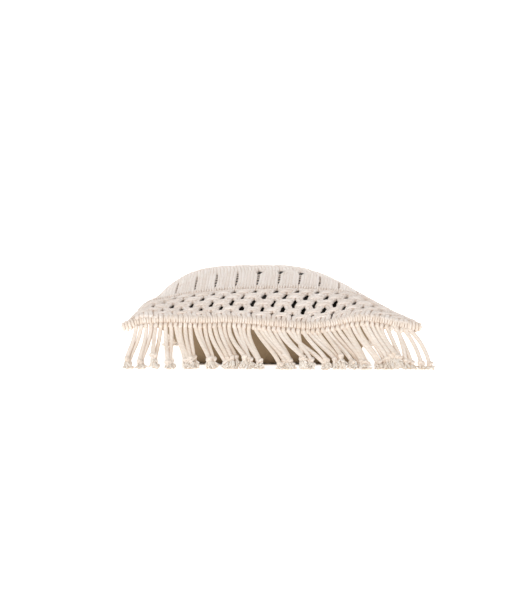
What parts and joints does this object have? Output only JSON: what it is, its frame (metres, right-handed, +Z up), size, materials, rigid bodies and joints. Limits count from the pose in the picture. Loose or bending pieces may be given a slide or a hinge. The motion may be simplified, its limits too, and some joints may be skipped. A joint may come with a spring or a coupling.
{
  "type": "floor cushion",
  "caption": "Square floor cushion with a domed knotted cord cover, thick knotted edge bars, hanging fringe front and rear, canvas base with a zip, and a stuffed pad inside.",
  "frame": {"origin": "on the floor under the centre of the square cover, midway between its two edge bars", "axes": "+X across the cushion along its fringed edges, +Y from the front fringe to the rear fringe, +Z up"},
  "size_m": [0.5425, 0.585, 0.181],
  "materials": {
    "cotton_cord": "natural twisted cotton cord, matt",
    "lining_canvas": "dark plain-weave canvas",
    "base_canvas": "khaki plain-weave canvas",
    "ticking": "thin white cotton",
    "fibre": "loose polyester fibre",
    "zip_tape": "woven zip tape",
    "zip_metal": "satin"
  },
  "bodies": {
    "cushion": {"fibre_filling": "fibre", "pad_casing_top": "ticking", "pad_casing_bottom": "ticking", "cover_lining": "lining_canvas", "base_panel_front": "base_canvas", "base_panel_rear": "base_canvas", "zip_tape_front": "zip_tape", "zip_tape_rear": "zip_tape", "zip_teeth_front": "zip_metal", "zip_teeth_rear": "zip_metal", "zip_stop_left": "zip_metal", "zip_stop_right": "zip_metal", "net_front": "cotton_cord", "net_rear": "cotton_cord", "inner_bar_front": "cotton_cord", "inner_bar_rear": "cotton_cord", "sennit_band_front": "cotton_cord", "sennit_band_rear": "cotton_cord", "crown_panel": "cotton_cord", "edge_bar_front": "cotton_cord", "edge_bar_rear": "cotton_cord", "side_cord_left": "cotton_cord", "side_cord_right": "cotton_cord"},
    "zip_slider": {"zip_slider": "zip_metal"},
    "zip_pull_tab": {"zip_pull_tab": "zip_metal"},
    "fringe_front_1": {"fringe_front_1": "cotton_cord"},
    "fringe_front_2": {"fringe_front_2": "cotton_cord"},
    "fringe_front_3": {"fringe_front_3": "cotton_cord"},
    "fringe_front_4": {"fringe_front_4": "cotton_cord"},
    "fringe_front_5": {"fringe_front_5": "cotton_cord"},
    "fringe_front_6": {"fringe_front_6": "cotton_cord"},
    "fringe_front_7": {"fringe_front_7": "cotton_cord"},
    "fringe_rear_1": {"fringe_rear_1": "cotton_cord"},
    "fringe_rear_2": {"fringe_rear_2": "cotton_cord"},
    "fringe_rear_3": {"fringe_rear_3": "cotton_cord"},
    "fringe_rear_4": {"fringe_rear_4": "cotton_cord"},
    "fringe_rear_5": {"fringe_rear_5": "cotton_cord"},
    "fringe_rear_6": {"fringe_rear_6": "cotton_cord"},
    "fringe_rear_7": {"fringe_rear_7": "cotton_cord"}
  },
  "joints": [
    {"name": "zip_slide", "type": "slide", "parent": "cushion", "child": "zip_slider", "axis": [-1, 0, 0], "range_m": [0, 0.262]},
    {"name": "zip_tab_swing", "type": "hinge", "parent": "zip_slider", "child": "zip_pull_tab", "pos_m": [0.13, 0.2225, 0.0619], "axis": [0, 1, 0], "range_deg": [-78, 78]},
    {"name": "fringe_front_lift_1", "type": "hinge", "parent": "cushion", "child": "fringe_front_1", "pos_m": [0, -0.25, 0.074], "axis": [-1, 0, 0], "range_deg": [0, 150]},
    {"name": "fringe_front_lift_2", "type": "hinge", "parent": "cushion", "child": "fringe_front_2", "pos_m": [0, -0.25, 0.074], "axis": [-1, 0, 0], "range_deg": [0, 150]},
    {"name": "fringe_front_lift_3", "type": "hinge", "parent": "cushion", "child": "fringe_front_3", "pos_m": [0, -0.25, 0.074], "axis": [-1, 0, 0], "range_deg": [0, 150]},
    {"name": "fringe_front_lift_4", "type": "hinge", "parent": "cushion", "child": "fringe_front_4", "pos_m": [0, -0.25, 0.074], "axis": [-1, 0, 0], "range_deg": [0, 150]},
    {"name": "fringe_front_lift_5", "type": "hinge", "parent": "cushion", "child": "fringe_front_5", "pos_m": [0, -0.25, 0.074], "axis": [-1, 0, 0], "range_deg": [0, 150]},
    {"name": "fringe_front_lift_6", "type": "hinge", "parent": "cushion", "child": "fringe_front_6", "pos_m": [0, -0.25, 0.074], "axis": [-1, 0, 0], "range_deg": [0, 150]},
    {"name": "fringe_front_lift_7", "type": "hinge", "parent": "cushion", "child": "fringe_front_7", "pos_m": [0, -0.25, 0.074], "axis": [-1, 0, 0], "range_deg": [0, 150]},
    {"name": "fringe_rear_lift_1", "type": "hinge", "parent": "cushion", "child": "fringe_rear_1", "pos_m": [0, 0.25, 0.074], "axis": [1, 0, 0], "range_deg": [0, 150]},
    {"name": "fringe_rear_lift_2", "type": "hinge", "parent": "cushion", "child": "fringe_rear_2", "pos_m": [0, 0.25, 0.074], "axis": [1, 0, 0], "range_deg": [0, 150]},
    {"name": "fringe_rear_lift_3", "type": "hinge", "parent": "cushion", "child": "fringe_rear_3", "pos_m": [0, 0.25, 0.074], "axis": [1, 0, 0], "range_deg": [0, 150]},
    {"name": "fringe_rear_lift_4", "type": "hinge", "parent": "cushion", "child": "fringe_rear_4", "pos_m": [0, 0.25, 0.074], "axis": [1, 0, 0], "range_deg": [0, 150]},
    {"name": "fringe_rear_lift_5", "type": "hinge", "parent": "cushion", "child": "fringe_rear_5", "pos_m": [0, 0.25, 0.074], "axis": [1, 0, 0], "range_deg": [0, 150]},
    {"name": "fringe_rear_lift_6", "type": "hinge", "parent": "cushion", "child": "fringe_rear_6", "pos_m": [0, 0.25, 0.074], "axis": [1, 0, 0], "range_deg": [0, 150]},
    {"name": "fringe_rear_lift_7", "type": "hinge", "parent": "cushion", "child": "fringe_rear_7", "pos_m": [0, 0.25, 0.074], "axis": [1, 0, 0], "range_deg": [0, 150]}
  ]
}
